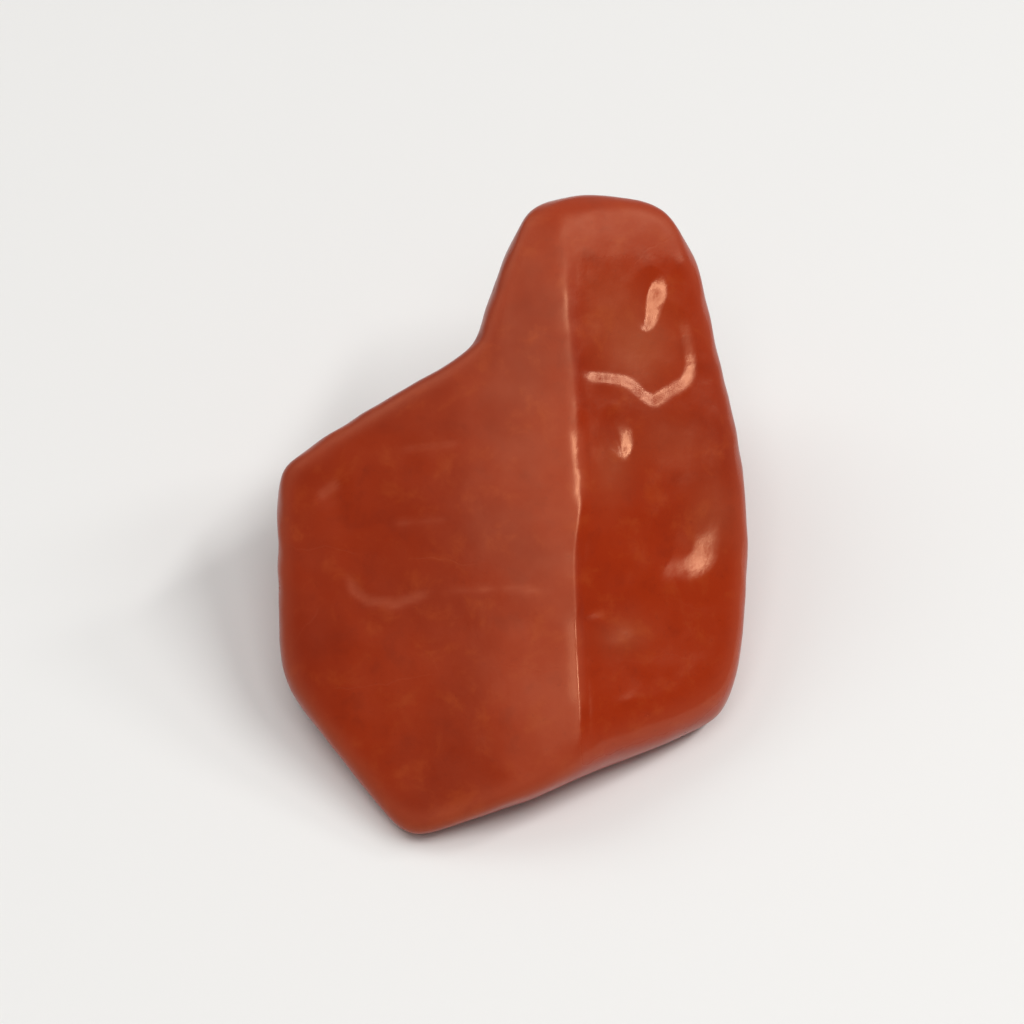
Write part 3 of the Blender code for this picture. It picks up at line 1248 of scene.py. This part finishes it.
    def paint(self, bench: Bench, place: Socket, cracks: Socket) -> Socket:
        """Mix the stone's colour: clouds, mottling, specks, cracks, pale edges that are partly wear and
        partly a painted highlight, a painted sheen on hazy patches and painted shade in pits, in turn.

        Args:
            bench: The material's nodes.
            place: The place in the stone, in millimetres.
            cracks: The mask of healed cracks.

        Returns:
            The colour socket.
        """
        clouds, mottle, grain = (bench.noise(place, one) for one in (self.clouds, self.mottle, self.grain))
        seams = bench.math("MAXIMUM", bench.math("MULTIPLY", cracks, 0.30), bench.mask("healed"))
        # Each layer's share, how strongly it shows, and its colour
        layers = (
            (bench.between(clouds, 0.30, 0.58, 0.40, 1.0), 1.00, self.brick),
            (bench.between(mottle, 0.50, 0.72), 0.55, self.warm),
            (bench.between(mottle, 0.48, 0.30), 0.35, self.deep),
            (bench.between(grain, 0.60, 0.74), 0.30, self.deep),
            (seams, 0.34, self.bloom_and_highlight),
            # Pale edges: partly real wear, partly a painted highlight on the edges and along the ridge
            (bench.mask("worn"), 0.32, self.bloom_and_highlight),
            # Painted sheen: frosted patches tinted paler as if they caught the light
            (bench.mask("frost_and_painted_sheen"), 0.42, self.painted_sheen),
            # Painted shade: pits darker the deeper they are
            (bench.mask("hollow"), 0.45, self.deep),
        )
        colour: object = self.deep
        for share, strength, over in layers:
            colour = bench.tint(share, strength, colour, over)
        return colour

    def polish(self, bench: Bench, place: Socket, cracks: Socket) -> Socket:
        """Return the roughness: satin on the left, glossy right of the ridge, dull in pits."""
        total = bench.between(bench.mask("polish"), 0.0, 1.0, self.satin, self.polished)
        worn = bench.noise(place, self.worn_polish)
        total = bench.math("ADD", total, bench.between(worn, 0.3, 0.7, -self.unevenness, self.unevenness))
        shares = (bench.mask("frost_and_painted_sheen"), bench.mask("hollow"), cracks)
        for share, more in zip(shares, (self.frost_and_painted_sheen_dulls, self.hollows_dull, self.cracks_dull)):
            total = bench.math("MULTIPLY_ADD", share, more, total)
        return total

    def skin(self, bench: Bench, place: Socket, cracks: Socket) -> Socket:
        """Return the normal: a fine uneven polish, and cracks that lie a little low."""
        waves, grain = bench.noise(place, self.skin_waves), bench.noise(place, self.skin_grain)
        height = bench.math("MULTIPLY_ADD", grain, self.grain_height, waves)
        height = bench.math("MULTIPLY_ADD", cracks, -self.crack_sink, height)
        bump = bench.add("ShaderNodeBump", strength=1.0, distance=self.bump * MM, height=height)
        return bump.outputs["Normal"]


@dataclass(frozen=True)
class SoftLamp:
    """A soft lamp that faces the stone.

    Attributes:
        name: What the lamp is called.
        azimuth: Where it hangs, in degrees from +X.
        elevation: How high it hangs, in degrees.
        distance: How far it is from the stone, in metres.
        width: The width of its face, in metres.
        height: The height of its face, in metres.
        glow: How bright its face is, where 1 is as bright as the room's air.
        roll: How far it is turned about the line to the stone, in degrees.
    """

    name: str
    azimuth: float
    elevation: float
    distance: float
    width: float
    height: float
    glow: float
    roll: float = 0.0

    @property
    def power(self) -> float:
        """The lamp's power in watts: π · glow · width · height."""
        return math.pi * self.glow * self.width * self.height


@dataclass
class Studio:
    """A pale floor, soft lamps and the camera.

    Attributes:
        floor_side: The side of the square floor, in metres.
        floor_colour: The floor's colour.
        floor_roughness: How matt it is.
        air_colour: The colour of the room's even light.
        air_strength: How bright that is.
        lens: The camera's focal length, in millimetres.
        sensor: The width of its sensor, in millimetres.
        clips: The nearest and farthest things that it sees, in metres.
        lamps: The soft lamps.
    """

    floor_side: float = 1.2
    floor_colour: Colour = (0.86, 0.85, 0.83, 1.0)
    floor_roughness: float = 0.7
    air_colour: Colour = (1.0, 1.0, 1.0, 1.0)
    air_strength: float = 0.235
    lens: float = 180.0
    sensor: float = 36.0
    clips: Span = (0.01, 10.0)
    lamps: tuple[SoftLamp, ...] = (
        SoftLamp("overhead", -90, 70, 0.30, 0.17, 0.17, 3.3),
        SoftLamp("strip", -6, 56, 0.30, 0.19, 0.027, 22.5, -18),
        SoftLamp("low_spark", 18.5, 36.5, 0.30, 0.036, 0.058, 17.0),
        SoftLamp("left_panel", 150, 50, 0.30, 0.20, 0.20, 1.4),
    )

    def build(self, heart: Vector) -> None:
        """Set the stage around the stone.

        Args:
            heart: The stone's heart, in metres.
        """
        self.lay_floor()
        for lamp in self.lamps:
            self.hang(lamp, heart)
        self.fill_air()
        self.place_camera(heart)

    def lay_floor(self) -> None:
        """Lay the pale floor on which the stone rests."""
        half = self.floor_side / 2.0
        corners = [(-half, -half, 0.0), (half, -half, 0.0), (half, half, 0.0), (-half, half, 0.0)]
        mesh = bpy.data.meshes.new("floor")
        mesh.from_pydata(corners, [], [(0, 1, 2, 3)])
        material = bpy.data.materials.new("pale_floor")
        material.use_nodes = True
        shader = material.node_tree.nodes["Principled BSDF"]
        shader.inputs["Base Color"].default_value = self.floor_colour
        shader.inputs["Roughness"].default_value = self.floor_roughness
        mesh.materials.append(material)
        put_in_scene("floor", mesh)

    def hang(self, lamp: SoftLamp, heart: Vector) -> None:
        """Hang one soft lamp that faces the stone."""
        light = bpy.data.lights.new(lamp.name, "AREA")
        light.shape = "RECTANGLE"
        light.size = lamp.width
        light.size_y = lamp.height
        light.energy = lamp.power
        thing = put_in_scene(lamp.name, light)
        away = Vector(direction(lamp.azimuth, lamp.elevation))
        thing.location = heart + away * lamp.distance
        roll = Quaternion((0.0, 0.0, 1.0), math.radians(lamp.roll))
        thing.rotation_euler = (away.to_track_quat("Z", "Y") @ roll).to_euler()

    def fill_air(self) -> None:
        """Fill the room with even, pale light."""
        world = bpy.data.worlds.new("studio_air")
        world.use_nodes = True
        background = world.node_tree.nodes["Background"]
        background.inputs["Color"].default_value = self.air_colour
        background.inputs["Strength"].default_value = self.air_strength
        bpy.context.scene.world = world

    def place_camera(self, heart: Vector) -> None:
        """Aim a long lens down at the stone from the front."""
        up_way, back = (Vector(axis) for axis in picture_axes())
        distance = self.lens * VIEW_WIDTH * MM / self.sensor
        data = bpy.data.cameras.new("camera")
        data.lens = self.lens
        data.sensor_width = self.sensor
        data.clip_start, data.clip_end = self.clips
        camera = put_in_scene("camera", data)
        camera.location = heart + up_way * AIM_LIFT * MM + back * distance
        camera.rotation_euler = back.to_track_quat("Z", "Y").to_euler()
        bpy.context.scene.camera = camera


def main() -> None:
    """Build and dress the stone, then set the studio around it."""
    logging.basicConfig(level=logging.INFO, format="%(name)s: %(message)s")
    heart = JasperStone().build()
    Studio().build(heart)
    bpy.context.scene.view_settings.view_transform = "Standard"


if __name__ == "__main__":
    main()
